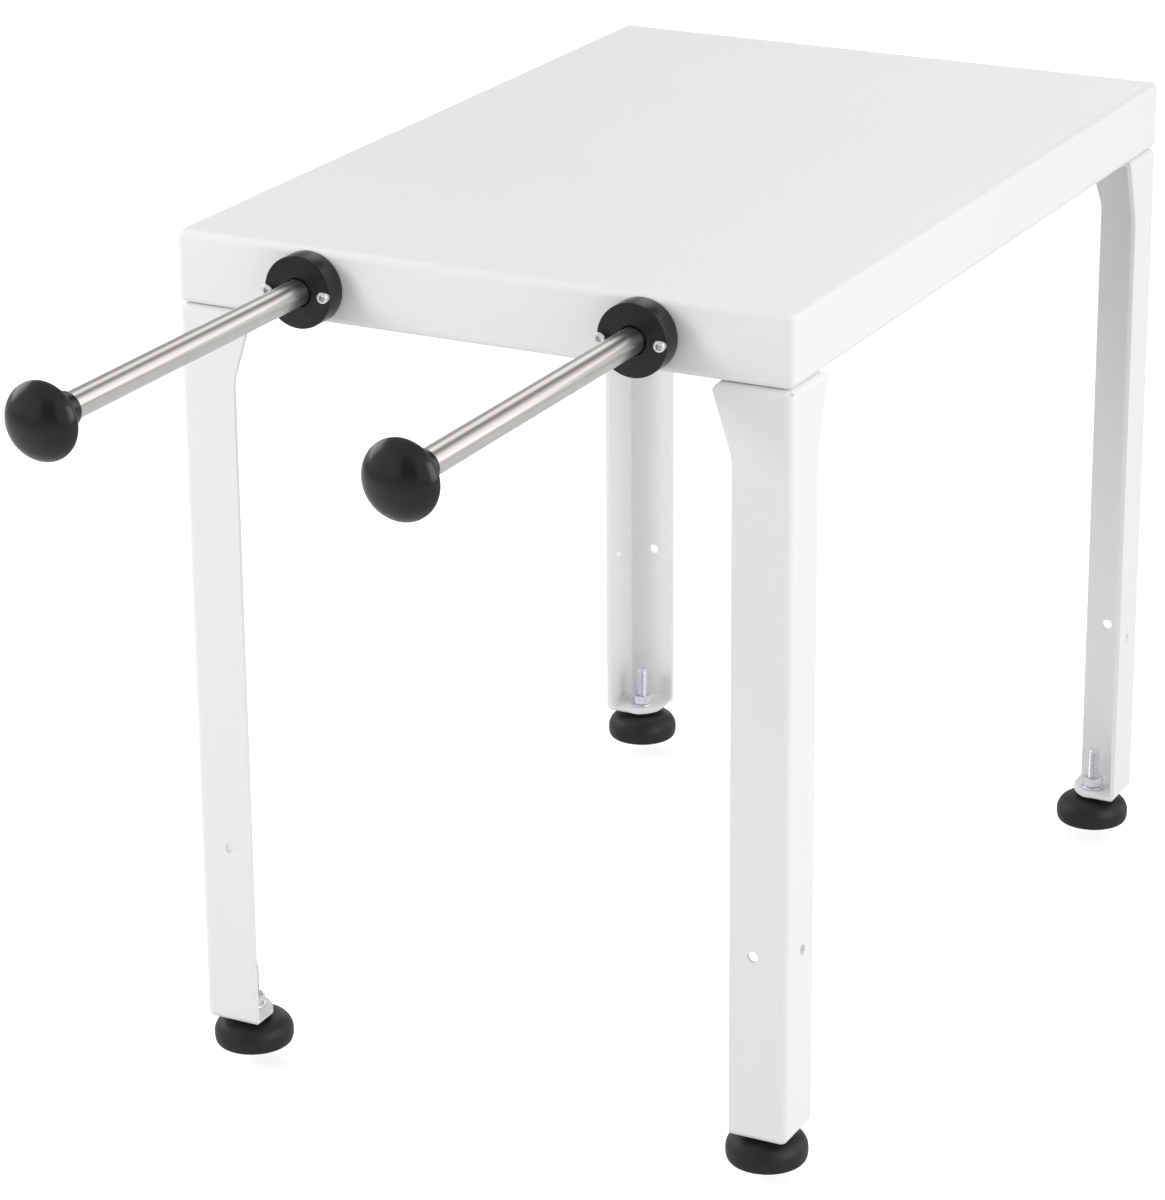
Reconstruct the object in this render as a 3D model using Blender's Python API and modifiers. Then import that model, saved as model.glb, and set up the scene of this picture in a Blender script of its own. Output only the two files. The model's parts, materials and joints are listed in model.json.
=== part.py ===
"""Low sheet-metal table with two support rods on its front apron.

Metres, +Z up, floor at z = 0. The rods point to -Y. The origin is the centre
of the whole object's footprint, knobs and feet included.
"""
import math

import bmesh
import bpy
from mathutils import Matrix, Vector

# ---------------------------------------------------------------- dimensions
HEIGHT = 0.535          # floor to tabletop
TOP_WIDTH = 0.400       # X
TOP_DEPTH = 0.600       # Y
APRON = 0.045           # apron height
SHEET = 0.003           # sheet thickness, top and legs
BEND = 0.005            # outside bend radius
RETURN = 0.020          # return flange under the apron
SEAM = 0.0004           # joint line between apron and leg

LEG_FLANGE = 0.037      # width of each side of the leg
LEG_HEAD = 0.0492       # width at the flared head
FLARE_LOW = 0.0475      # where the flare starts, below the leg's top
FLARE_HIGH = 0.0075     # where the flare ends, below the leg's top
LEG_LIFT = 0.0205       # floor to underside of the foot plate
BRACE_HOLE = (0.0035, 0.022, 0.120)   # radius, from the corner, above the leg's end
HEAD_BOLT = (0.033, 0.0125)           # from the two faces of the leg's head
FOOT_INSET = 0.0215     # stud axis from both outer faces

PAD_RADIUS = 0.025
PAD_HEIGHT = 0.0182
STUD_RADIUS = 0.004
STUD_TOP = 0.0525
STUD_BASE = 0.0085

ROD_X = 0.108           # rod axes either side of the middle
ROD_DROP = 0.0233       # rod axes below the tabletop
ROD_RADIUS = 0.008
ROD_REACH = 0.2535      # front apron to the knob's collar
FLANGE_RADIUS = 0.0219
FLANGE_THICK = 0.0146
SCREW_CIRCLE = 0.0185   # cap screws, left and right of the rod
KNOB_RADIUS = 0.0225
KNOB_NECK = 0.0103
KNOB_LENGTH = 0.036

GAP = 0.0003            # assembly clearance

FOOT_OUT = PAD_RADIUS - FOOT_INSET
FRONT_REACH = ROD_REACH + GAP + KNOB_LENGTH
TOP_Y = (FRONT_REACH - FOOT_OUT) / 2        # middle of the tabletop
FRONT = TOP_Y - TOP_DEPTH / 2               # front apron face
BACK = TOP_Y + TOP_DEPTH / 2
LEG_TOP = HEIGHT - APRON - SEAM
LEG_LENGTH = LEG_TOP - LEG_LIFT
ROD_Z = HEIGHT - ROD_DROP
SIDE = TOP_WIDTH / 2

CORNERS = (
    ("front_left", -SIDE, FRONT, 0),
    ("front_right", SIDE, FRONT, 90),
    ("back_right", SIDE, BACK, 180),
    ("back_left", -SIDE, BACK, 270),
)

# colour, metallic, roughness
FINISH = {
    "white_powder_coat": ((0.83, 0.84, 0.86), 0.0, 0.38),
    "black_anodised": ((0.022, 0.022, 0.024), 0.0, 0.42),
    "black_plastic": ((0.012, 0.012, 0.013), 0.0, 0.28),
    "black_rubber": ((0.018, 0.018, 0.019), 0.0, 0.62),
    "brushed_steel": ((0.62, 0.60, 0.57), 1.0, 0.30),
    "zinc_plate": ((0.66, 0.68, 0.70), 1.0, 0.34),
    "stainless": ((0.74, 0.74, 0.73), 1.0, 0.22),
}

# ------------------------------------------------------------------- helpers


def clear_scene():
    for obj in list(bpy.data.objects):
        bpy.data.objects.remove(obj, do_unlink=True)


def collection(name):
    coll = bpy.data.collections.new(name)
    bpy.context.scene.collection.children.link(coll)
    return coll


def finish_material(obj, finish):
    colour, metallic, roughness = FINISH[finish]
    mat = bpy.data.materials.new(obj.name + "_" + finish)
    mat.use_nodes = True
    node = next(n for n in mat.node_tree.nodes if n.type == "BSDF_PRINCIPLED")
    node.inputs["Base Color"].default_value = (*colour, 1.0)
    node.inputs["Metallic"].default_value = metallic
    node.inputs["Roughness"].default_value = roughness
    mat.diffuse_color = (*colour, 1.0)
    for slot in obj.material_slots:
        slot.link = "OBJECT"
        slot.material = mat


def place(name, mesh, coll, location=(0, 0, 0), turn=0.0, finish=None, parent=None):
    obj = bpy.data.objects.new(name, mesh)
    coll.objects.link(obj)
    obj.location = location
    obj.rotation_euler = (0.0, 0.0, math.radians(turn))
    if parent is not None:
        obj.parent = parent
    if finish:
        if not mesh.materials:
            mesh.materials.append(None)
        finish_material(obj, finish)
    return obj


def bmesh_to_mesh(bm, name):
    bmesh.ops.recalc_face_normals(bm, faces=bm.faces)
    mesh = bpy.data.meshes.new(name)
    bm.to_mesh(mesh)
    bm.free()
    return mesh


def box(name, low, high, radius=0.0, steps=4):
    """A box between two corners, its edges rounded by a Bevel."""
    low, high = Vector(low), Vector(high)
    size = high - low
    bm = bmesh.new()
    bmesh.ops.create_cube(bm, size=1.0, matrix=Matrix.Translation((low + high) / 2)
                          @ Matrix.Diagonal((*size, 1.0)))
    obj = place(name, bmesh_to_mesh(bm, name), CUTTERS)
    if radius:
        mod = obj.modifiers.new("rounded", "BEVEL")
        mod.width, mod.segments, mod.limit_method = radius, steps, "NONE"
    return obj


def rods(name, items, sides=32):
    """Straight cylinders in one mesh; each item is (start, end, radius)."""
    bm = bmesh.new()
    for start, end, radius in items:
        start, end = Vector(start), Vector(end)
        turn = (end - start).to_track_quat("Z", "Y").to_matrix().to_4x4()
        bmesh.ops.create_cone(bm, cap_ends=True, segments=sides, radius1=radius,
                              radius2=radius, depth=(end - start).length,
                              matrix=Matrix.Translation((start + end) / 2) @ turn)
    return place(name, bmesh_to_mesh(bm, name), CUTTERS)


def plate(name, outline, low, high, axis="Z"):
    """A flat outline, filled both sides and extruded between two levels."""
    curve = bpy.data.curves.new(name, "CURVE")
    curve.dimensions, curve.fill_mode = "2D", "BOTH"
    curve.extrude = (high - low) / 2
    line = curve.splines.new("POLY")
    line.points.add(len(outline) - 1)
    for point, (u, v) in zip(line.points, outline):
        point.co = (u, v, 0.0, 1.0)
    line.use_cyclic_u = True
    source = bpy.data.objects.new(name, curve)
    CUTTERS.objects.link(source)
    flat = bpy.data.meshes.new_from_object(source)
    bpy.data.objects.remove(source, do_unlink=True)
    bm = bmesh.new()
    bm.from_mesh(flat)
    bmesh.ops.remove_doubles(bm, verts=bm.verts, dist=1e-6)
    middle = (low + high) / 2
    if axis == "Y":                       # outline drawn in XZ
        frame = Matrix(((1, 0, 0, 0), (0, 0, 1, middle), (0, 1, 0, 0), (0, 0, 0, 1)))
    elif axis == "X":                     # outline drawn in YZ
        frame = Matrix(((0, 0, 1, middle), (1, 0, 0, 0), (0, 1, 0, 0), (0, 0, 0, 1)))
    else:
        frame = Matrix.Translation((0, 0, middle))
    bmesh.ops.transform(bm, matrix=frame, verts=bm.verts)
    return place(name, bmesh_to_mesh(bm, name), CUTTERS)


def combine(obj, *tools):
    """Boolean modifiers in order; each tool is (operation, object)."""
    for operation, tool in tools:
        mod = obj.modifiers.new(tool.name, "BOOLEAN")
        mod.operation, mod.solver, mod.object = operation, "EXACT", tool
    return obj


def applied(obj, angle=35.0):
    """The finished mesh, its temporary object and tools removed."""
    bpy.context.view_layer.update()
    graph = bpy.context.evaluated_depsgraph_get()
    mesh = bpy.data.meshes.new_from_object(obj.evaluated_get(graph))
    for item in list(CUTTERS.objects):
        bpy.data.objects.remove(item, do_unlink=True)
    bm = bmesh.new()
    bm.from_mesh(mesh)
    bmesh.ops.remove_doubles(bm, verts=bm.verts, dist=2e-6)
    bmesh.ops.dissolve_degenerate(bm, edges=bm.edges, dist=2e-6)
    bmesh.ops.recalc_face_normals(bm, faces=bm.faces)
    bm.to_mesh(mesh)
    bm.free()
    mesh.materials.clear()
    mesh.shade_smooth()
    mesh.set_sharp_from_angle(angle=math.radians(angle))
    return mesh


def turned(name, profile, coll, location, finish, axis="Z", steps=48, parent=None):
    """A turned piece; the profile is (radius, height) from top to bottom."""
    mesh = bpy.data.meshes.new(name)
    mesh.from_pydata([(r, 0.0, h) for r, h in profile],
                     [(i, i + 1) for i in range(len(profile) - 1)], [])
    obj = place(name, mesh, coll, location, 0.0, finish, parent)
    if axis == "Y":                       # the profile's top points to -Y
        obj.rotation_euler = (math.radians(90), 0.0, 0.0)
    mod = obj.modifiers.new("turn", "SCREW")
    mod.angle, mod.screw_offset, mod.iterations = math.radians(360), 0.0, 1
    mod.steps = mod.render_steps = steps
    mod.use_merge_vertices, mod.merge_threshold = True, 0.00005
    mod.use_smooth_shade = True
    return obj


def arc(cx, cy, radius, start, end, count=6):
    points = []
    for i in range(count + 1):
        a = math.radians(start + (end - start) * i / count)
        points.append((cx + radius * math.cos(a), cy + radius * math.sin(a)))
    return points


def hexagon(across, turn=0.0):
    radius = across / math.sqrt(3)
    return [(radius * math.cos(math.radians(turn + 60 * i)),
             radius * math.sin(math.radians(turn + 60 * i))) for i in range(6)]


# ------------------------------------------------------------------ tabletop


def head_bolts():
    """The eight leg bolts: leg name, number and position."""
    for name, x, y, turn in CORNERS:
        spin = Matrix.Rotation(math.radians(turn), 3, "Z")
        for number, (u, v) in enumerate((HEAD_BOLT, HEAD_BOLT[::-1]), 1):
            spot = Vector((x, y, 0)) + spin @ Vector((u, v, 0))
            yield name, number, spot.x, spot.y


def tabletop():
    low, high = (-SIDE, FRONT, HEIGHT - APRON), (SIDE, BACK, HEIGHT)
    top = box("top_block", low, high, BEND, 4)
    inner_low = [c + SHEET for c in low]
    inner_high = [c - SHEET for c in high]
    hollow = box("top_hollow", inner_low, inner_high, BEND - SHEET, 3)
    opening = box("top_opening",
                  (low[0] + RETURN, low[1] + RETURN, low[2] - 0.01),
                  (high[0] - RETURN, high[1] - RETURN, low[2] + 0.01))
    holes = [((x, y, low[2] - 0.005), (x, y, low[2] + 0.008), 0.0033)
             for _, _, x, y in head_bolts()]
    for side in (-1, 1):
        x = side * ROD_X
        holes.append(((x, FRONT - 0.005, ROD_Z), (x, FRONT + 0.008, ROD_Z), 0.0045))
        for edge in (-1, 1):
            sx = x + edge * SCREW_CIRCLE
            holes.append(((sx, FRONT - 0.005, ROD_Z), (sx, FRONT + 0.008, ROD_Z), 0.0023))
    drilled = rods("top_holes", holes, 24)
    combine(top, ("DIFFERENCE", hollow), ("DIFFERENCE", opening), ("DIFFERENCE", drilled))
    place("tabletop", applied(top), PARTS, finish="white_powder_coat")


# ---------------------------------------------------------------------- legs


def flare_outline():
    """What is cut away beyond one side of the leg, seen square on."""
    low, top, far = 0.003, LEG_LENGTH, 0.120
    points = [(LEG_FLANGE - low, -0.02)]
    points += arc(LEG_FLANGE - low, low, low, -90, 0, 5)
    points += [(LEG_FLANGE, top - FLARE_LOW),
               (LEG_FLANGE + 0.0003, top - FLARE_LOW + 0.0035),
               (LEG_FLANGE + 0.0013, top - FLARE_LOW + 0.0077),
               (LEG_HEAD - 0.0010, top - FLARE_HIGH - 0.0010),
               (LEG_HEAD - 0.0003, top - FLARE_HIGH + 0.0011)]
    points += arc(LEG_HEAD - 0.0042, top - 0.0048, 0.0042, 0, 90, 5)
    points += [(LEG_HEAD - 0.0042, top + 0.02), (far, top + 0.02), (far, -0.02)]
    return points


def leg_mesh():
    """One leg, its outer corner at the origin and its sides along +X and +Y."""
    far = 0.100
    leg = box("leg_block", (0, 0, 0), (far, far, LEG_LENGTH), BEND, 4)
    hollow = box("leg_hollow", (SHEET, SHEET, SHEET),
                 (far + 0.02, far + 0.02, LEG_LENGTH - SHEET), BEND - SHEET, 3)
    outline = flare_outline()
    side_x = plate("leg_side_x", outline, -0.02, far + 0.03, "Y")
    side_y = plate("leg_side_y", outline, -0.02, far + 0.03, "X")
    tab = box("leg_tab", (RETURN, RETURN, LEG_LENGTH - 0.02),
              (far + 0.03, far + 0.03, LEG_LENGTH + 0.01))
    edge, round_ = LEG_FLANGE + 0.002, 0.024
    corner = [(edge, edge - 0.002 - round_), (edge, edge), (edge - 0.002 - round_, edge)]
    corner += arc(LEG_FLANGE - round_, LEG_FLANGE - round_, round_, 90, 0, 8)
    foot_corner = plate("leg_foot_corner", corner, -0.01, 0.01)
    radius, across, up = BRACE_HOLE
    holes = [((across, -0.01, up), (across, 0.01, up), radius),
             ((-0.01, across, up), (0.01, across, up), radius),
             ((FOOT_INSET, FOOT_INSET, -0.01), (FOOT_INSET, FOOT_INSET, 0.01), 0.0046),
             ((*HEAD_BOLT, LEG_LENGTH - 0.01), (*HEAD_BOLT, LEG_LENGTH + 0.01), 0.0033),
             ((*HEAD_BOLT[::-1], LEG_LENGTH - 0.01), (*HEAD_BOLT[::-1], LEG_LENGTH + 0.01), 0.0033)]
    drilled = rods("leg_holes", holes, 24)
    relief = rods("leg_relief", [((0.0015, 0.0015, LEG_LENGTH - 0.0035),
                                  (0.0015, 0.0015, LEG_LENGTH + 0.01), 0.0032)], 16)
    combine(leg, ("DIFFERENCE", hollow), ("DIFFERENCE", side_x), ("DIFFERENCE", side_y),
            ("DIFFERENCE", tab), ("DIFFERENCE", foot_corner), ("DIFFERENCE", drilled),
            ("DIFFERENCE", relief))
    return applied(leg)


def legs():
    mesh = leg_mesh()
    for name, x, y, turn in CORNERS:
        place("leg_" + name, mesh, PARTS, (x, y, LEG_LIFT), turn, "white_powder_coat")


# ------------------------------------------------------------------ fasteners


def bolt_mesh(across, head, radius, length):
    """Hexagon bolt, head from z = 0 down to -head, shank up to +length."""
    bolt = plate("bolt_head", hexagon(across), -head, 0.0)
    shank = rods("bolt_shank", [((0, 0, -head / 2), (0, 0, length), radius)], 20)
    return applied(combine(bolt, ("UNION", shank)))


def nut_mesh(across, height, bore):
    """Hexagon nut standing on z = 0."""
    nut = plate("nut_body", hexagon(across, 30), 0.0, height)
    hole = rods("nut_bore", [((0, 0, -0.01), (0, 0, height + 0.01), bore)], 24)
    return applied(combine(nut, ("DIFFERENCE", hole)))


def cap_screw_mesh(radius, head, shank, length, socket, deep):
    """Socket-head screw, head from z = 0 up to +head, shank down to -length."""
    screw = rods("screw_head", [((0, 0, 0), (0, 0, head), radius)], 24)
    shank_tool = rods("screw_shank", [((0, 0, -length), (0, 0, head / 2), shank)], 16)
    drive = plate("screw_drive", hexagon(socket), head - deep, head + 0.01)
    return applied(combine(screw, ("UNION", shank_tool), ("DIFFERENCE", drive)))


def leg_bolts():
    bolt = bolt_mesh(0.010, 0.004, 0.003, 0.0142)
    nut = nut_mesh(0.010, 0.005, 0.0033)
    for name, number, x, y in head_bolts():
        tag = "%s_%d" % (name, number)
        place("leg_bolt_" + tag, bolt, PARTS, (x, y, LEG_TOP - SHEET - 0.0001), 15, "zinc_plate")
        place("leg_nut_" + tag, nut, PARTS, (x, y, HEIGHT - APRON + SHEET + 0.0001), 15,
              "zinc_plate")


def washer_profile(bore, radius=0.008, height=0.0016, edge=0.0003):
    return [(bore, height), (radius - edge, height), (radius, height - edge), (radius, 0.0),
            (bore, 0.0), (bore, height)]


# ----------------------------------------------------------------------- feet


def pad_mesh():
    """Domed foot pad, floor at z = 0, blind hole for the stud."""
    profile = [(0.0, PAD_HEIGHT), (0.0118, PAD_HEIGHT), (0.0155, 0.0175), (0.0190, 0.0163),
               (0.0218, 0.0145), (0.0237, 0.0120), (0.0247, 0.0092), (PAD_RADIUS, 0.0062),
               (0.0248, 0.0032), (0.0242, 0.0012), (0.0228, 0.0), (0.0, 0.0)]
    pad = turned("pad_body", profile, CUTTERS, (0, 0, 0), None, steps=36)
    hole = rods("pad_hole", [((0, 0, STUD_BASE - GAP), (0, 0, 0.03), STUD_RADIUS + GAP)], 24)
    return applied(combine(pad, ("DIFFERENCE", hole)), 50)


def feet():
    pad = pad_mesh()
    nut = nut_mesh(0.013, 0.0065, STUD_RADIUS + GAP)
    stud_profile = [(0.0, STUD_TOP), (STUD_RADIUS - 0.0008, STUD_TOP),
                    (STUD_RADIUS, STUD_TOP - 0.0008), (STUD_RADIUS, STUD_BASE), (0.0, STUD_BASE)]
    ring = washer_profile(STUD_RADIUS + GAP)
    seat = LEG_LIFT + SHEET + 0.0001
    for name, x, y, turn in CORNERS:
        spin = Matrix.Rotation(math.radians(turn), 3, "Z")
        spot = Vector((x, y, 0)) + spin @ Vector((FOOT_INSET, FOOT_INSET, 0))
        axis = bpy.data.objects.new("foot_axis_" + name, None)
        axis.location = spot
        PARTS.objects.link(axis)
        place("foot_pad_" + name, pad, PARTS, finish="black_rubber", parent=axis)
        turned("foot_stud_" + name, stud_profile, PARTS, (0, 0, 0), "zinc_plate", steps=24,
               parent=axis)
        turned("foot_washer_" + name, ring, PARTS, (spot.x, spot.y, seat), "zinc_plate", steps=24)
        place("foot_nut_" + name, nut, PARTS, (spot.x, spot.y, seat + 0.0017), 10 + turn,
              "zinc_plate")


# ----------------------------------------------------------------------- rods


def flange_mesh():
    """Flange ring, back at z = 0 and face at its thickness, axis +Z."""
    bore, edge = ROD_RADIUS + 0.0006, 0.0006
    profile = [(bore, FLANGE_THICK), (FLANGE_RADIUS - edge, FLANGE_THICK),
               (FLANGE_RADIUS, FLANGE_THICK - edge), (FLANGE_RADIUS, edge),
               (FLANGE_RADIUS - edge, 0.0), (bore, 0.0), (bore, FLANGE_THICK)]
    ring = turned("flange_ring", profile, CUTTERS, (0, 0, 0), None, steps=64)
    holes = rods("flange_holes", [((s * SCREW_CIRCLE, 0, -0.01), (s * SCREW_CIRCLE, 0, 0.03), 0.0023)
                                  for s in (-1, 1)], 20)
    return applied(combine(ring, ("DIFFERENCE", holes)))


def rod_profile():
    """From the knob end (top) to the apron end, with a hole for the bolt."""
    spigot, hole, deep, edge = 0.004, 0.0043, 0.022, 0.0007
    return [(0.0, ROD_REACH + 0.012), (spigot - 0.0005, ROD_REACH + 0.012),
            (spigot, ROD_REACH + 0.0115), (spigot, ROD_REACH), (ROD_RADIUS - edge, ROD_REACH),
            (ROD_RADIUS, ROD_REACH - edge), (ROD_RADIUS, GAP + edge), (ROD_RADIUS - edge, GAP),
            (hole, GAP), (hole, deep), (0.0, deep + 0.002)]


def knob_profile():
    """From the dome (top) to the collar, with a hole for the rod's spigot."""
    top, hole = KNOB_LENGTH, 0.0043
    return [(0.0, top), (0.0045, top - 0.0003), (0.0090, top - 0.0012), (0.0132, top - 0.0028),
            (0.0168, top - 0.0049), (0.0198, top - 0.0076), (0.0217, top - 0.0103),
            (KNOB_RADIUS, top - 0.0126), (0.0222, top - 0.0142), (0.0212, top - 0.0152),
            (0.0196, top - 0.0157), (0.0150, top - 0.0164), (0.0122, top - 0.0178),
            (0.0108, top - 0.0198), (KNOB_NECK, top - 0.0225), (KNOB_NECK, 0.0008),
            (KNOB_NECK - 0.0008, 0.0), (hole, 0.0), (hole, 0.0125), (0.0, 0.0145)]


def rod_assemblies():
    flange = flange_mesh()
    screw = cap_screw_mesh(0.0035, 0.004, 0.002, FLANGE_THICK + SHEET + 0.0055, 0.003, 0.002)
    screw_nut = nut_mesh(0.007, 0.0032, 0.0023)
    bolt = bolt_mesh(0.013, 0.0053, STUD_RADIUS, 0.0235)
    ring = washer_profile(0.0044)
    inside = FRONT + SHEET + 0.0001
    for side, tag in ((-1, "left"), (1, "right")):
        x = side * ROD_X
        forward = (math.radians(90), 0.0, 0.0)      # local +Z points to -Y
        disc = place("rod_flange_" + tag, flange, PARTS, (x, FRONT - 0.0001, ROD_Z), 0,
                     "black_anodised")
        disc.rotation_euler = forward
        turned("rod_" + tag, rod_profile(), PARTS, (x, FRONT, ROD_Z), "brushed_steel", "Y", 40)
        turned("knob_" + tag, knob_profile(), PARTS, (x, FRONT - ROD_REACH - GAP, ROD_Z),
               "black_plastic", "Y", 48)
        turned("rod_washer_" + tag, ring, PARTS, (x, inside + 0.0016, ROD_Z), "zinc_plate", "Y", 24)
        fixing = place("rod_bolt_" + tag, bolt, PARTS, (x, inside + 0.0017, ROD_Z), 0, "zinc_plate")
        fixing.rotation_euler = forward
        for edge, end in ((side, "outer"), (-side, "inner")):
            sx = x + edge * SCREW_CIRCLE
            cap = place("flange_screw_%s_%s" % (tag, end), screw, PARTS,
                        (sx, FRONT - 0.0002 - FLANGE_THICK, ROD_Z), 0, "stainless")
            cap.rotation_euler = forward
            back = place("flange_nut_%s_%s" % (tag, end), screw_nut, PARTS,
                         (sx, inside + 0.0032, ROD_Z), 0, "stainless")
            back.rotation_euler = forward


clear_scene()
PARTS = collection("support_table")
CUTTERS = collection("cutters")
tabletop()
legs()
leg_bolts()
feet()
rod_assemblies()
bpy.data.collections.remove(CUTTERS)
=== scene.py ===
"""The look of a low sheet-metal table with two support rods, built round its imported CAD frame."""

import json
import math

import bmesh
import bpy
from mathutils import Matrix, Vector

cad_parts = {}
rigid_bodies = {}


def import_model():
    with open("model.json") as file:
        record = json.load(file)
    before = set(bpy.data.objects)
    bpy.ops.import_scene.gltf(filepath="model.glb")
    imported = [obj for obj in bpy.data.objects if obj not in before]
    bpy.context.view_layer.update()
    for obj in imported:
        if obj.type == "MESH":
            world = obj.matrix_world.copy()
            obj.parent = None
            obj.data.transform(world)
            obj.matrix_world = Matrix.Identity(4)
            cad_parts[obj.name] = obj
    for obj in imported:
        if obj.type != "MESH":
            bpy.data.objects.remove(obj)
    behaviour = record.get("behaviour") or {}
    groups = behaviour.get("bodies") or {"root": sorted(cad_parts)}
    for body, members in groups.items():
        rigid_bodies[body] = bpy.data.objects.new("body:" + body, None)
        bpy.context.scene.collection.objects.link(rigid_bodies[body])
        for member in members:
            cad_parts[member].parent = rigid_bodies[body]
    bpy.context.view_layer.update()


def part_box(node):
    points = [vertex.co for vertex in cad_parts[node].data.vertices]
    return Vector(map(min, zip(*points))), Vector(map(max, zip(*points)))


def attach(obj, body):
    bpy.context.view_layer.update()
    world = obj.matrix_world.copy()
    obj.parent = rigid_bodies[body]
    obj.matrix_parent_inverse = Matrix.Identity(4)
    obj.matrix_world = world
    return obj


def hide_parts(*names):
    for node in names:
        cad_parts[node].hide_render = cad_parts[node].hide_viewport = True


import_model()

# ------------------------------------------------------------ sizes, metres
SHEET = 0.003            # sheet thickness of the top and the legs
BEND = 0.005             # outside bend radius
RETURN = 0.020           # return flange under the apron
EDGE = 0.0005            # softened cut edges under the powder coat
LEG_FLANGE = 0.037
LEG_HEAD = 0.0492
FOOT_INSET = 0.0215
BRACE_HOLE = (0.0035, 0.022, 0.120)      # radius, from the bend, above the foot plate
HEAD_BOLT = (0.033, 0.0125)              # from the two outer faces of the corner
FOOT_ROUND = 0.024
CORNER_RELIEF = 0.0030
SCREW_CIRCLE = 0.0185    # cap screws, either side of the rod
SPIGOT = 0.0115          # the rod's end inside the knob, before its chamfer
BEND_STEPS = 8

# ------------------------------------------- fasteners, metres
M4_PITCH, M6_PITCH, M8_PITCH = 0.0007, 0.001, 0.00125
M4_HOLE, M6_HOLE = 0.0023, 0.0033        # clearance hole radii
ROD_BOLT_HOLE, FOOT_HOLE = 0.0045, 0.0046
M6_HEAD, M8_HEAD = (0.010, 0.004), (0.013, 0.0053)       # across flats, height
M4_NUT, M6_NUT, M8_NUT = (0.007, 0.0032), (0.010, 0.005), (0.013, 0.0065)
M8_WASHER = (0.008, 0.0016)              # outer radius, height
CAP_HEAD = 0.004

TOP_LOW, TOP_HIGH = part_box("tabletop")
SIDE, FRONT, BACK = TOP_HIGH.x, TOP_LOW.y, TOP_HIGH.y
CORNERS = (
    ("front_left", -SIDE, FRONT, 0),
    ("front_right", SIDE, FRONT, 90),
    ("back_right", SIDE, BACK, 180),
    ("back_left", -SIDE, BACK, 270),
)
FLOOR_GLOW = 0.58        # keeps the floor white to the camera only
FLOOR_LEVEL = -0.0155    # where the feet reach when they are screwed right out
TOOLS = bpy.data.collections.new("tools")
bpy.context.scene.collection.children.link(TOOLS)


# ---------------------------------------------------------------- materials
class Nodes:
    """A small helper round one material's node tree."""

    def __init__(self, name):
        self.mat = bpy.data.materials.new(name)
        self.mat.use_nodes = True
        self.tree = self.mat.node_tree
        self.shader = next(n for n in self.tree.nodes if n.type == "BSDF_PRINCIPLED")
        self.space = self.add("ShaderNodeTexCoord").outputs["Object"]

    def add(self, kind, **values):
        node = self.tree.nodes.new(kind)
        for key, value in values.items():
            if key in node.inputs:
                node.inputs[key].default_value = value
            else:
                setattr(node, key, value)
        return node

    def link(self, source, target):
        self.tree.links.new(source, target)

    def stretched(self, scale):
        node = self.add("ShaderNodeMapping")
        node.inputs["Scale"].default_value = scale
        self.link(self.space, node.inputs["Vector"])
        return node.outputs["Vector"]

    def noise(self, scale, detail=3.0, rough=0.55, space=None):
        node = self.add("ShaderNodeTexNoise", Scale=scale, Detail=detail, Roughness=rough)
        self.link(space or self.space, node.inputs["Vector"])
        return node.outputs["Fac"]

    def ramp(self, value, *stops):
        node = self.add("ShaderNodeValToRGB")
        ramp = node.color_ramp
        while len(ramp.elements) < len(stops):
            ramp.elements.new(0.5)
        for element, (place, colour) in zip(ramp.elements, stops):
            element.position = place
            element.color = (*colour, 1.0) if len(colour) == 3 else colour
        self.link(value, node.inputs["Fac"])
        return node.outputs["Color"]

    def spread(self, value, low, high, start=0.3, end=0.7):
        node = self.add("ShaderNodeMapRange")
        for key, number in (("From Min", start), ("From Max", end),
                            ("To Min", low), ("To Max", high)):
            node.inputs[key].default_value = number
        self.link(value, node.inputs["Value"])
        return node.outputs["Result"]

    def bump(self, *layers):
        """Bump layers one over another; each is (height, strength, distance)."""
        normal = None
        for height, strength, distance in layers:
            node = self.add("ShaderNodeBump", Strength=strength, Distance=distance)
            self.link(height, node.inputs["Height"])
            if normal is not None:
                self.link(normal, node.inputs["Normal"])
            normal = node.outputs["Normal"]
        self.link(normal, self.shader.inputs["Normal"])

    def set(self, **values):
        for key, value in values.items():
            self.shader.inputs[key.replace("_", " ")].default_value = value

    def colour(self, output):
        self.link(output, self.shader.inputs["Base Color"])

    def roughness(self, output):
        self.link(output, self.shader.inputs["Roughness"])


def powder_coat():
    """White satin powder coat: fine orange peel and a faint cloudiness."""
    m = Nodes("white powder coat")
    cloud = m.noise(5.0, 2.0)
    m.colour(m.ramp(cloud, (0.30, (0.797, 0.801, 0.809)), (0.70, (0.806, 0.810, 0.818))))
    peel, grain = m.noise(850.0, 2.0, 0.4), m.noise(3200.0, 2.0, 0.5)
    m.roughness(m.spread(m.noise(420.0, 3.0), 0.36, 0.46))
    m.bump((peel, 0.30, 0.00008), (grain, 0.12, 0.00003))
    return m.mat


def brushed_steel():
    """Stainless rod along its own Z, polished round its axis, so reflections smear lengthwise."""
    m = Nodes("brushed stainless rod")
    lines = m.noise(1.0, 6.0, 0.65, m.stretched((3200.0, 3200.0, 14.0)))
    broad = m.noise(1.0, 3.0, 0.5, m.stretched((500.0, 500.0, 6.0)))
    m.colour(m.ramp(lines, (0.30, (0.62, 0.600, 0.570)), (0.70, (0.74, 0.720, 0.690))))
    m.roughness(m.spread(broad, 0.22, 0.28))
    m.set(Metallic=1.0, Anisotropic=0.75, Anisotropic_Rotation=0.25)
    m.bump((lines, 0.08, 0.00002), (broad, 0.05, 0.00002))
    return m.mat


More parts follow.
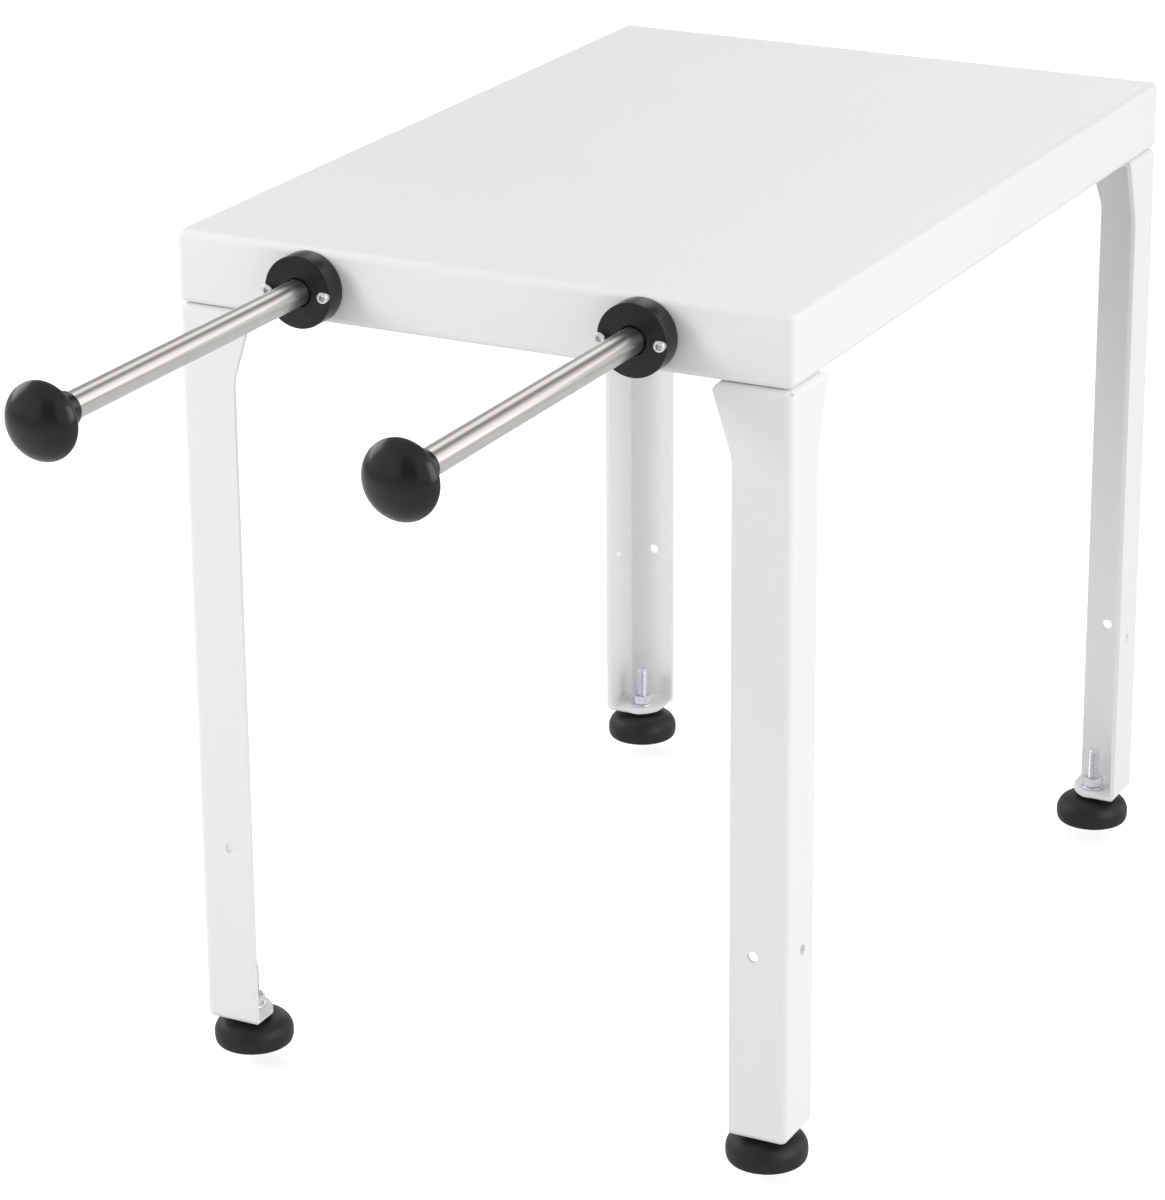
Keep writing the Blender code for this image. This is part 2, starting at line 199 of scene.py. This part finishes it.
def bright_metal(name, low, high, rough, tooth):
    """Zinc plate or stainless fasteners, slightly mottled."""
    m = Nodes(name)
    mottle = m.noise(260.0, 4.0)
    m.colour(m.ramp(mottle, (0.35, low), (0.65, high)))
    m.roughness(m.spread(m.noise(900.0, 3.0), rough - 0.06, rough + 0.08))
    m.set(Metallic=1.0)
    m.bump((m.noise(2600.0, 3.0), tooth, 0.00003))
    return m.mat


def turned_black():
    """Satin black flange with the lathe's fine rings on its face."""
    m = Nodes("turned black flange")
    wave = m.add("ShaderNodeTexWave", wave_type="RINGS", rings_direction="Z",
                 Scale=900.0, Distortion=0.6)
    wave.inputs["Detail Scale"].default_value = 3.0
    m.link(m.space, wave.inputs["Vector"])
    dust = m.noise(700.0, 4.0, 0.65)
    m.colour(m.ramp(dust, (0.38, (0.0085, 0.0085, 0.0088)), (0.72, (0.0110, 0.0110, 0.0114))))
    m.roughness(m.spread(dust, 0.27, 0.31))
    m.set(Specular_IOR_Level=0.36)
    m.bump((wave.outputs["Fac"], 0.02, 0.00002), (dust, 0.01, 0.00001))
    return m.mat


def black_plastic():
    """Moulded knob, semi-gloss with a very fine texture."""
    m = Nodes("black moulded knob")
    fine, wide = m.noise(2400.0, 2.0), m.noise(160.0, 3.0)
    m.colour(m.ramp(wide, (0.35, (0.004, 0.004, 0.004)), (0.70, (0.007, 0.007, 0.007))))
    m.roughness(m.spread(wide, 0.20, 0.25))
    m.set(Specular_IOR_Level=0.42)
    m.bump((fine, 0.08, 0.00003), (wide, 0.05, 0.0001))
    return m.mat


def rubber():
    """Matt rubber foot with a little bloom and moulding grain."""
    m = Nodes("black rubber foot")
    bloom, grain = m.noise(95.0, 5.0, 0.6), m.noise(1900.0, 3.0)
    m.colour(m.ramp(bloom, (0.35, (0.006, 0.006, 0.0062)), (0.72, (0.012, 0.012, 0.0124))))
    m.roughness(m.spread(bloom, 0.40, 0.52))
    m.set(Specular_IOR_Level=0.36)
    m.bump((grain, 0.25, 0.00005), (bloom, 0.15, 0.00015))
    return m.mat


LOOKS = {
    "white_powder_coat": powder_coat(),
    "brushed_steel": brushed_steel(),
    "zinc_plate": bright_metal("zinc plate", (0.76, 0.775, 0.79), (0.83, 0.84, 0.85),
                               0.24, 0.02),
    "stainless": bright_metal("stainless screw", (0.76, 0.76, 0.75), (0.84, 0.84, 0.83),
                              0.20, 0.04),
    "black_anodised": turned_black(),
    "black_plastic": black_plastic(),
    "black_rubber": rubber(),
}


# ------------------------------------------------------------- mesh helpers
def mesh_from(bm, name, smooth=True, sharp=35.0):
    bmesh.ops.recalc_face_normals(bm, faces=bm.faces)
    mesh = bpy.data.meshes.new(name)
    bm.to_mesh(mesh)
    bm.free()
    if smooth:
        mesh.shade_smooth()
        mesh.set_sharp_from_angle(angle=math.radians(sharp))
    return mesh


def piece(name, mesh, matrix, look, body, *nodes):
    """One visible piece: placed, given its look, riding its body, standing for its CAD nodes."""
    obj = bpy.data.objects.new(name, mesh)
    bpy.context.scene.collection.objects.link(obj)
    obj.matrix_world = matrix
    if not mesh.materials:
        mesh.materials.append(LOOKS[look])
    bpy.context.view_layer.update()
    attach(obj, body)
    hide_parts(*nodes)
    return obj


def skin(bm, rings, capped):
    """Quads between rings of equal length, a ring being a list of points; fans cap the ends."""
    loops = [[bm.verts.new(p) for p in ring] for ring in rings]
    count = len(loops[0])
    for low, high in zip(loops, loops[1:]):
        for i in range(count):
            j = (i + 1) % count
            bm.faces.new((low[i], low[j], high[j], high[i]))
    for loop in (loops[0], loops[-1]) if capped else ():
        middle = bm.verts.new(sum((v.co for v in loop), Vector()) / count)
        for i in range(count):
            bm.faces.new((loop[i], loop[(i + 1) % count], middle))
    return loops


def rings_mesh(name, levels, steps, closed, sharp):
    """A piece round Z from (radius, height) levels, either of them a number or a function of the
    angle. A closed profile joins its last level to its first, as in a washer."""
    bm = bmesh.new()
    rings = []
    for radius, height in levels:
        ring = []
        for i in range(steps):
            a = 2 * math.pi * i / steps
            r = radius(a) if callable(radius) else radius
            h = height(a) if callable(height) else height
            ring.append((r * math.cos(a), r * math.sin(a), h))
        rings.append(ring)
    loops = skin(bm, rings, not closed)
    if closed:
        first, last = loops[0], loops[-1]
        for i in range(steps):
            j = (i + 1) % steps
            bm.faces.new((last[i], last[j], first[j], first[i]))
    return mesh_from(bm, name, True, sharp)


def flowing(points, parts):
    """Catmull-Rom through the points of a profile."""
    out = []
    padded = [points[0], *points, points[-1]]
    for a, b, c, d in zip(padded, padded[1:], padded[2:], padded[3:]):
        for k in range(parts):
            t = k / parts
            out.append(tuple(0.5 * (2 * q + (r - p) * t + (2 * p - 5 * q + 4 * r - s) * t * t
                                    + (3 * q - p - 3 * r + s) * t ** 3)
                             for p, q, r, s in zip(a, b, c, d)))
    out.append(points[-1])
    return out


def box_tool(name, low, high, radius=0.0):
    """A block between two corners, with every edge rounded to the radius."""
    low, high = Vector(low), Vector(high)
    bm = bmesh.new()
    bmesh.ops.create_cube(bm, size=1.0, matrix=Matrix.Translation((low + high) / 2)
                          @ Matrix.Diagonal((*(high - low), 1.0)))
    if radius:
        bmesh.ops.bevel(bm, geom=bm.edges[:], offset=radius, segments=BEND_STEPS, profile=0.5,
                        affect="EDGES")
    obj = bpy.data.objects.new(name, mesh_from(bm, name, False))
    TOOLS.objects.link(obj)
    return obj


def prism_tool(name, outline, low, high, axis="Z"):
    """An outline pushed along an axis; in XZ for axis Y and YZ for axis X."""
    def at(u, v, w):
        return {"Z": (u, v, w), "Y": (u, w, v), "X": (w, u, v)}[axis]

    bm = bmesh.new()
    ends = []
    for level in (low, high):
        ends.append([bm.verts.new(at(u, v, level)) for u, v in outline])
        bm.faces.new(ends[-1])
    for i in range(len(outline)):
        j = (i + 1) % len(outline)
        bm.faces.new((ends[0][i], ends[0][j], ends[1][j], ends[1][i]))
    obj = bpy.data.objects.new(name, mesh_from(bm, name, False))
    TOOLS.objects.link(obj)
    return obj


def drill_tool(name, items, sides=40):
    """Round bars to cut holes with; each item is (start, end, radius)."""
    bm = bmesh.new()
    for start, end, radius in items:
        start, end = Vector(start), Vector(end)
        turn = (end - start).to_track_quat("Z", "Y").to_matrix().to_4x4()
        bmesh.ops.create_cone(bm, cap_ends=True, segments=sides, radius1=radius, radius2=radius,
                              depth=(end - start).length,
                              matrix=Matrix.Translation((start + end) / 2) @ turn)
    obj = bpy.data.objects.new(name, mesh_from(bm, name, False))
    TOOLS.objects.link(obj)
    return obj


def carved(name, block, *tools):
    """The block less its tools, with softened cut edges, as one finished mesh."""
    for tool in tools:
        mod = block.modifiers.new(tool.name, "BOOLEAN")
        mod.operation, mod.solver, mod.object = "DIFFERENCE", "EXACT", tool
    mod = block.modifiers.new("weld", "WELD")
    mod.merge_threshold = 0.00002
    mod = block.modifiers.new("edges", "BEVEL")
    mod.width, mod.segments, mod.limit_method = EDGE, 2, "ANGLE"
    mod.angle_limit = math.radians(50)
    bpy.context.view_layer.update()
    graph = bpy.context.evaluated_depsgraph_get()
    mesh = bpy.data.meshes.new_from_object(block.evaluated_get(graph))
    for obj in list(TOOLS.objects):
        bpy.data.objects.remove(obj, do_unlink=True)
    mesh.name = name
    mesh.materials.clear()
    mesh.shade_smooth()
    mesh.set_sharp_from_angle(angle=math.radians(40))
    return mesh


def arc(cx, cy, radius, start, end, count=8):
    """Points on a circle between two angles in degrees."""
    angles = [math.radians(start + (end - start) * i / count) for i in range(count + 1)]
    return [(cx + radius * math.cos(a), cy + radius * math.sin(a)) for a in angles]


def weighted(obj):
    """Keeps flat faces flat between the rounded bends."""
    mod = obj.modifiers.new("flat faces", "WEIGHTED_NORMAL")
    mod.keep_sharp, mod.weight = True, 80


# ------------------------------------------------------------------ the top
def make_top():
    low, high = TOP_LOW, TOP_HIGH
    inset = Vector((SHEET,) * 3)
    block = box_tool("top block", low, high, BEND)
    hollow = box_tool("hollow", low + inset, high - inset, BEND - SHEET)
    opening = box_tool("opening", (low.x + RETURN, low.y + RETURN, low.z - 0.01),
                       (high.x - RETURN, high.y - RETURN, low.z + 0.01))
    holes = []
    for name, x, y, turn in CORNERS:
        spin = Matrix.Rotation(math.radians(turn), 3, "Z")
        for u, v in (HEAD_BOLT, HEAD_BOLT[::-1]):
            spot = Vector((x, y, low.z)) + spin @ Vector((u, v, 0))
            holes.append((spot - Vector((0, 0, 0.005)), spot + Vector((0, 0, 0.008)), M6_HOLE))
    for tag in ("left", "right"):
        a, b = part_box("rod_flange_" + tag)
        x, z = (a.x + b.x) / 2, (a.z + b.z) / 2
        for shift, radius in ((0.0, ROD_BOLT_HOLE), (-SCREW_CIRCLE, M4_HOLE),
                              (SCREW_CIRCLE, M4_HOLE)):
            holes.append(((x + shift, low.y - 0.005, z), (x + shift, low.y + 0.008, z), radius))
    mesh = carved("top sheet", block, hollow, opening, drill_tool("holes", holes, 28))
    weighted(piece("top_sheet", mesh, Matrix(), "white_powder_coat", "table", "tabletop"))


# ----------------------------------------------------------------- the legs
def flare_outline(length):
    """What is missing beyond one side of the leg, seen square on: straight, then flared."""
    low, head, over, far = 0.003, 0.0042, 0.02, 0.120
    points = [(LEG_FLANGE - low, -over)]
    points += arc(LEG_FLANGE - low, low, low, -90, 0, 6)
    points += [(LEG_FLANGE + out, length - down) for out, down in
               ((0.0, 0.0475), (0.0002, 0.0448), (0.0006, 0.0424), (0.0013, 0.0398))]
    points += [(LEG_HEAD - 0.0010, length - 0.0085), (LEG_HEAD - 0.0003, length - 0.0064)]
    points += arc(LEG_HEAD - head, length - 0.0048, head, 0, 90)
    points += [(LEG_HEAD - head, length + over), (far, length + over), (far, -over)]
    return points


def make_legs():
    low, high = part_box("leg_front_left")
    length, far = high.z - low.z, 0.100
    block = box_tool("leg block", (0, 0, 0), (far, far, length), BEND)
    hollow = box_tool("hollow", (SHEET, SHEET, SHEET), (far + 0.02, far + 0.02, length - SHEET),
                      BEND - SHEET)
    outline = flare_outline(length)
    side_x = prism_tool("side x", outline, -0.02, far + 0.03, "Y")
    side_y = prism_tool("side y", outline, -0.02, far + 0.03, "X")
    tab = box_tool("tab", (RETURN, RETURN, length - 0.02), (far + 0.03, far + 0.03, length + 0.01))
    edge = LEG_FLANGE + 0.002
    middle = LEG_FLANGE - FOOT_ROUND
    corner = [(edge, middle), (edge, edge), (middle, edge)]
    corner += arc(middle, middle, FOOT_ROUND, 90, 0, 16)
    foot = prism_tool("foot corner", corner, -0.01, 0.01)
    radius, across, up = BRACE_HOLE
    holes = [((across, -0.01, up), (across, 0.01, up), radius),
             ((-0.01, across, up), (0.01, across, up), radius),
             ((FOOT_INSET, FOOT_INSET, -0.01), (FOOT_INSET, FOOT_INSET, 0.01), FOOT_HOLE)]
    holes += [((*spot, length - 0.01), (*spot, length + 0.01), M6_HOLE)
              for spot in (HEAD_BOLT, HEAD_BOLT[::-1])]
    relief = drill_tool("relief", [((0.0012, 0.0012, length - CORNER_RELIEF),
                                    (0.0012, 0.0012, length + 0.01), CORNER_RELIEF)], 24)
    mesh = carved("leg sheet", block, hollow, side_x, side_y, tab, foot,
                  drill_tool("holes", holes), relief)
    for name, x, y, turn in CORNERS:
        place = Matrix.Translation((x, y, low.z)) @ Matrix.Rotation(math.radians(turn), 4, "Z")
        weighted(piece("leg_sheet_" + name, mesh, place, "white_powder_coat", "table",
                       "leg_" + name))


# ---------------------------------------------------------------- fasteners
FACE = 0.475             # flat end face of a hexagon, its radius over the size across flats
THREAD = 0.6             # depth of a thread over its pitch


def hex_radius(across):
    """Distance from the axis to a hexagon's side, by angle."""

    def at(angle):
        return across / 2 / math.cos((angle + math.pi / 6) % (math.pi / 3) - math.pi / 6)
    return at


def chamfered(across, height, face, rising):
    """Height of a hexagon's rim where a 30 degree cone takes off its corners."""
    radius = hex_radius(across)

    def at(angle):
        drop = max(0.0, radius(angle) - face) * math.tan(math.radians(30))
        return height - drop if rising else height + drop
    return at


def nut_mesh(name, size, bore):
    """A chamfered hexagon nut standing on z = 0, with a countersunk bore."""
    across, height = size
    side, face, lip = hex_radius(across), across * FACE, 0.0004
    levels = [(bore, lip), (bore + lip, 0.0), (face, 0.0),
              (side, chamfered(across, 0.0, face, False)),
              (side, chamfered(across, height, face, True)), (face, height), (bore + lip, height),
              (bore, height - lip)]
    return rings_mesh(name, levels, 72, True, 25.0)


def thread_rings(radius, pitch, low, high, per_turn=8):
    """Levels of a threaded shank, its ridge winding with the angle and fading at both ends."""
    start = 0.0005
    depth, count = THREAD * pitch, max(8, int((high - low) / pitch * per_turn))
    levels = []
    for i in range(count + 1):
        z = low + (high - low) * i / count
        fade = min(1.0, (high - z) / start, (z - low) / start + 0.4)

        def at(angle, z=z, fade=fade):
            phase = (z / pitch - angle / (2 * math.pi)) % 1.0
            ridge = abs(2 * phase - 1)
            ridge = min(1.0, max(0.0, ridge * 1.3 - 0.15))
            return radius - depth * (1 - ridge * max(0.0, fade))
        levels.append((at, z))
    return levels


def bolt_mesh(name, size, radius, length, pitch):
    """Hexagon bolt: head from 0 down to -head, shank threaded at its end up to +length."""
    across, head = size
    side, face = hex_radius(across), across * FACE
    smooth = length * 0.3
    levels = [(face * 0.55, -head), (face, -head), (side, chamfered(across, -head, face, False)),
              (side, -0.0003), (face, 0.0), (radius, 0.0), (radius, smooth)]
    levels += thread_rings(radius, pitch, smooth, length - 0.0006)
    levels.append((radius - THREAD * pitch - 0.0001, length))
    return rings_mesh(name, levels, 36, False, 30.0)


def cap_screw_mesh(name, radius, head, shank, length, socket, deep, pitch):
    """Socket-head screw: knurled head from 0 up to +head, shank down to -length."""
    drive, ridges = hex_radius(socket), 24

    def knurl(angle):
        return radius - 0.00009 * (0.5 + 0.5 * math.cos(ridges * angle))

    levels = [(shank - THREAD * pitch - 0.0001, -length)]
    levels += thread_rings(shank, pitch, -length + 0.0004, -0.012, 6)
    levels += [(shank, -0.0115), (shank, 0.0), (radius - 0.0002, 0.0), (knurl, 0.0003),
               (knurl, head - 0.0008), (radius - 0.00012, head - 0.0006),
               (radius - 0.00035, head - 0.00015), (radius - 0.0006, head),
               (socket * 0.66, head), (lambda a: drive(a) + 0.0001, head - 0.00018),
               (drive, head - 0.0004), (drive, head - deep), (0.0003, head - deep - 0.0004)]
    return rings_mesh(name, levels, 96, False, 32.0)


def washer_mesh(name, bore, size):
    """A flat ring standing on z = 0; its size is (outer radius, height)."""
    radius, height = size
    soft = 0.0002
    levels = [(bore, soft), (bore + soft, 0.0), (radius - soft, 0.0), (radius, soft),
              (radius, height - soft), (radius - soft, height), (bore + soft, height),
              (bore, height - soft)]
    return rings_mesh(name, levels, 64, True, 50.0)


def centre_of(node):
    """Middle, lowest and highest corner of a CAD node's box."""
    low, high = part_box(node)
    return (low + high) / 2, low, high


def make_leg_bolts():
    bolt = bolt_mesh("leg bolt", M6_HEAD, 0.003, 0.0142, M6_PITCH)
    nut = nut_mesh("leg nut", M6_NUT, 0.0031)
    spin = Matrix.Rotation(math.radians(15), 4, "Z")
    for corner, *_ in CORNERS:
        for number in (1, 2):
            tag = "%s_%d" % (corner, number)
            mid, low, _ = centre_of("leg_bolt_" + tag)
            spot = Matrix.Translation((mid.x, mid.y, low.z + M6_HEAD[1]))
            piece("hex_bolt_" + tag, bolt, spot @ spin, "zinc_plate", "table", "leg_bolt_" + tag)
            mid, low, _ = centre_of("leg_nut_" + tag)
            piece("hex_nut_" + tag, nut, Matrix.Translation((mid.x, mid.y, low.z)) @ spin,
                  "zinc_plate", "table", "leg_nut_" + tag)


# ----------------------------------------------------------------- the feet
def pad_mesh(height):
    """Domed rubber pad; its underside has a shallow ring groove."""
    dome = flowing([(0.02499, 0.0066), (0.0248, 0.0092), (0.0237, 0.0120), (0.0218, 0.0145),
                    (0.0190, 0.0163), (0.0155, 0.0175), (0.0120, height - 0.0002)], 4)
    base = flowing([(0.0226, 0.0), (0.0236, 0.0004), (0.0243, 0.0014), (0.0248, 0.0032),
                    (0.0250, 0.0050)], 3)
    levels = [(0.0060, 0.0006), (0.0064, 0.0), (0.0150, 0.0), (0.0154, 0.0007), (0.0164, 0.0007),
              (0.0168, 0.0)] + base + dome
    levels += [(0.0100, height), (0.0050, height), (0.0046, height - 0.0004),
               (0.0046, 0.0095), (0.0004, 0.0092)]
    return rings_mesh("foot pad", levels, 96, False, 48.0)


def stud_mesh(length):
    levels = [(0.0034, 0.0)]
    levels += thread_rings(0.004, M8_PITCH, 0.0006, length - 0.0008)
    levels += [(0.0032, length - 0.0003), (0.0028, length)]
    return rings_mesh("foot stud", levels, 40, False, 30.0)


def make_feet():
    _, _, high = centre_of("foot_pad_front_left")
    pad = pad_mesh(high.z)
    _, low, high = centre_of("foot_stud_front_left")
    stud, stud_low = stud_mesh(high.z - low.z), low.z
    nut = nut_mesh("foot nut", M8_NUT, 0.00405)
    washer = washer_mesh("foot washer", 0.0042, M8_WASHER)
    for corner, _, _, turn in CORNERS:
        mid, _, _ = centre_of("foot_pad_" + corner)
        spot = Matrix.Translation((mid.x, mid.y, 0.0))
        body = "foot_" + corner
        piece("rubber_pad_" + corner, pad, spot, "black_rubber", body, "foot_pad_" + corner)
        piece("threaded_stud_" + corner, stud, spot @ Matrix.Translation((0, 0, stud_low)),
              "zinc_plate", body, "foot_stud_" + corner)
        _, low, _ = centre_of("foot_washer_" + corner)
        piece("plain_washer_" + corner, washer, spot @ Matrix.Translation((0, 0, low.z)),
              "zinc_plate", "table", "foot_washer_" + corner)
        _, low, _ = centre_of("foot_nut_" + corner)
        spin = Matrix.Rotation(math.radians(10 + turn), 4, "Z")
        piece("lock_nut_" + corner, nut, spot @ Matrix.Translation((0, 0, low.z)) @ spin,
              "zinc_plate", "table", "foot_nut_" + corner)


# ----------------------------------------------------------------- the rods
def flange_mesh(radius, thick):
    bore, edge = 0.0086, 0.0007
    rim = arc(radius - edge, edge, edge, -90, 0, 4)
    rim += arc(radius - edge, thick - edge, edge, 0, 90, 4)
    ring = [(bore, 0.0003), (bore + 0.0003, 0.0)] + rim
    ring += [(bore + 0.0005, thick), (bore, thick - 0.0005)]
    return rings_mesh("rod flange", ring, 128, True, 30.0)


def knob_mesh(top):
    """Mushroom knob, dome up at the given height, its collar's face at z = 0."""
    neck = 0.0103
    dome = [(0.0006, top), (0.0045, top - 0.0003), (0.0090, top - 0.0012), (0.0132, top - 0.0028),
            (0.0168, top - 0.0049), (0.0198, top - 0.0077), (0.0216, top - 0.0103),
            (0.02245, top - 0.0124), (0.0223, top - 0.0141), (0.0213, top - 0.0152),
            (0.0196, top - 0.0157), (0.0150, top - 0.0164), (0.0122, top - 0.0178),
            (0.0108, top - 0.0198), (neck, top - 0.0225)]
    levels = flowing(dome, 5) + [(neck, 0.0040)]
    levels += arc(neck - 0.0008, 0.0008, 0.0008, 0, -90, 5)
    levels += [(0.0079, 0.0), (0.0078, 0.0003)]
    return rings_mesh("mushroom knob", levels[::-1], 128, False, 40.0)


def rod_mesh(radius, length):
    """Rod along +Z from the apron to the knob, its ends chamfered, with a spigot for the knob."""
    edge = 0.0007
    levels = [(0.0043, 0.0), (radius - edge, 0.0), (radius, edge)]
    levels += [(radius, edge + (length - 2 * edge) * i / 24) for i in range(1, 25)]
    levels += [(radius - edge, length), (0.004, length), (0.004, length + SPIGOT),
               (0.0035, length + SPIGOT + 0.0005)]
    return rings_mesh("support rod", levels, 96, False, 30.0)


def make_rods():
    low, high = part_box("rod_flange_left")
    flange = flange_mesh((high.x - low.x) / 2, high.y - low.y)
    thick = high.y - low.y
    low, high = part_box("knob_left")
    knob = knob_mesh(high.y - low.y)
    low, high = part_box("rod_left")
    rod = rod_mesh((high.x - low.x) / 2, high.y - low.y - SPIGOT - 0.0005)
    screw = cap_screw_mesh("cap screw", 0.0035, CAP_HEAD, 0.002, thick + SHEET + 0.0055, 0.0033,
                           0.0030, M4_PITCH)
    back_nut = nut_mesh("flange nut", M4_NUT, 0.0021)
    bolt = bolt_mesh("rod bolt", M8_HEAD, 0.004, 0.0235, M8_PITCH)
    washer = washer_mesh("rod washer", 0.0044, M8_WASHER)
    forward = Matrix.Rotation(math.radians(90), 4, "X")       # local +Z points to -Y
    for tag in ("left", "right"):
        mid, _, high = centre_of("rod_flange_" + tag)

        def at(y, x=mid.x, z=mid.z):
            return Matrix.Translation((x, y, z)) @ forward

        piece("flange_disc_" + tag, flange, at(high.y), "black_anodised", "table",
              "rod_flange_" + tag)
        _, _, far = centre_of("rod_" + tag)
        piece("support_rod_" + tag, rod, at(far.y), "brushed_steel", "table", "rod_" + tag)
        _, _, far = centre_of("knob_" + tag)
        piece("mushroom_knob_" + tag, knob, at(far.y), "black_plastic", "table", "knob_" + tag)
        _, _, far = centre_of("rod_washer_" + tag)
        piece("bolt_washer_" + tag, washer, at(far.y), "zinc_plate", "table", "rod_washer_" + tag)
        _, _, far = centre_of("rod_bolt_" + tag)
        piece("rod_fixing_bolt_" + tag, bolt, at(far.y - M8_HEAD[1]), "zinc_plate", "table",
              "rod_bolt_" + tag)
        for end in ("outer", "inner"):
            name = "%s_%s" % (tag, end)
            spot, near, _ = centre_of("flange_screw_" + name)
            piece("cap_screw_" + name, screw, at(near.y + CAP_HEAD, spot.x), "stainless", "table",
                  "flange_screw_" + name)
            spot, _, far = centre_of("flange_nut_" + name)
            piece("screw_nut_" + name, back_nut, at(far.y, spot.x), "stainless", "table",
                  "flange_nut_" + name)


# --------------------------------------------------------- stage and camera
def make_camera():
    data = bpy.data.cameras.new("camera")
    data.sensor_width = data.sensor_height = 36.0
    data.lens = 124.35
    data.shift_x, data.shift_y = -0.0772, -0.0907
    data.clip_end = 100.0
    cam = bpy.data.objects.new("camera", data)
    cam.location = (1.0902, -2.1505, 1.1975)
    cam.rotation_euler = (math.radians(90 - 19.322), 0.0, math.radians(25.765))
    bpy.context.scene.collection.objects.link(cam)
    bpy.context.scene.camera = cam


def make_floor():
    bm = bmesh.new()
    bmesh.ops.create_grid(bm, x_segments=2, y_segments=2, size=15.0)
    obj = bpy.data.objects.new("floor", mesh_from(bm, "floor", False))
    bpy.context.scene.collection.objects.link(obj)
    obj.location.z = FLOOR_LEVEL
    m = Nodes("pale floor")
    m.colour(m.ramp(m.noise(1.5, 2.0), (0.3, (0.74, 0.74, 0.74)), (0.7, (0.76, 0.76, 0.76))))
    m.set(Roughness=0.95, Emission_Color=(1.0, 1.0, 1.0, 1.0))
    seen = m.add("ShaderNodeLightPath").outputs["Is Camera Ray"]
    m.link(m.spread(seen, 0.0, FLOOR_GLOW, 0.0, 1.0), m.shader.inputs["Emission Strength"])
    obj.data.materials.append(m.mat)


def softbox(name, place, target, size, power, mirrored=True):
    data = bpy.data.lights.new(name, "AREA")
    data.shape, data.size, data.size_y = "RECTANGLE", size[0], size[1]
    data.energy = power
    obj = bpy.data.objects.new(name, data)
    obj.visible_glossy = mirrored
    obj.location = place
    obj.rotation_euler = (Vector(target) - Vector(place)).to_track_quat("-Z", "Y").to_euler()
    bpy.context.scene.collection.objects.link(obj)


def make_world():
    """White panels round the object with dark gaps between them, under an even ceiling."""
    panels = ((-180, 0.80), (-150, 0.86), (-103, 0.86), (-90, 0.30), (-62, 0.30), (-50, 0.86),
              (0, 0.96), (47, 1.20), (52, 1.75), (63, 1.75), (68, 0.20), (89, 0.20), (95, 1.25),
              (110, 1.35), (118, 0.45), (130, 0.45), (180, 0.80))
    world = bpy.data.worlds.new("studio")
    bpy.context.scene.world = world
    world.use_nodes = True
    tree = world.node_tree
    tree.nodes.clear()

    def node(kind, *links, **values):
        made = tree.nodes.new(kind)
        for key, value in values.items():
            setattr(made, key, value)
        for source, target in links:
            tree.links.new(source, made.inputs[target])
        return made

    way = node("ShaderNodeTexCoord").outputs["Generated"]
    around = node("ShaderNodeTexGradient", (way, "Vector"), gradient_type="RADIAL")
    room = node("ShaderNodeValToRGB", (around.outputs["Fac"], "Fac"))
    stops = room.color_ramp.elements
    while len(stops) < len(panels):
        stops.new(0.5)
    for stop, (angle, strength) in zip(stops, panels):
        stop.position = 0.5 + angle / 360
        stop.color = (strength / 2, strength / 2, strength / 2, 1.0)
    height = node("ShaderNodeSeparateXYZ", (way, "Vector")).outputs["Z"]
    upward = node("ShaderNodeMapRange", (height, "Value"))
    upward.inputs["From Min"].default_value, upward.inputs["From Max"].default_value = 0.68, 0.80
    blend = node("ShaderNodeMix", (upward.outputs["Result"], "Factor"), data_type="RGBA")
    tree.links.new(room.outputs["Color"], blend.inputs["A"])
    blend.inputs["B"].default_value = (0.335, 0.339, 0.344, 1.0)
    lit = node("ShaderNodeBackground", (blend.outputs["Result"], "Color"))
    lit.inputs["Strength"].default_value = 2.0
    plain = node("ShaderNodeBackground")
    plain.inputs["Color"].default_value = (1.0, 1.0, 1.0, 1.0)
    seen = node("ShaderNodeLightPath").outputs["Is Camera Ray"]
    both = node("ShaderNodeMixShader", (seen, "Fac"), (lit.outputs["Background"], 1),
                (plain.outputs["Background"], 2))
    node("ShaderNodeOutputWorld", (both.outputs["Shader"], "Surface"))


def make_light():
    make_world()
    softbox("key softbox", (-1.30, -1.50, 1.20), (0.0, -0.1, 0.45), (0.7, 0.7), 15.5, False)
    softbox("left softbox", (-2.4, 0.3, 1.5), (0.0, 0.0, 0.45), (2.0, 1.4), 19.0)
    softbox("right softbox", (2.6, -0.2, 1.2), (0.0, 0.1, 0.4), (1.6, 1.8), 25.0)
    scene = bpy.context.scene
    scene.view_settings.view_transform = "Standard"
    scene.view_settings.look = "None"


make_camera()
make_top()
make_legs()
make_leg_bolts()
make_feet()
make_rods()
make_floor()
make_light()
bpy.data.collections.remove(TOOLS)
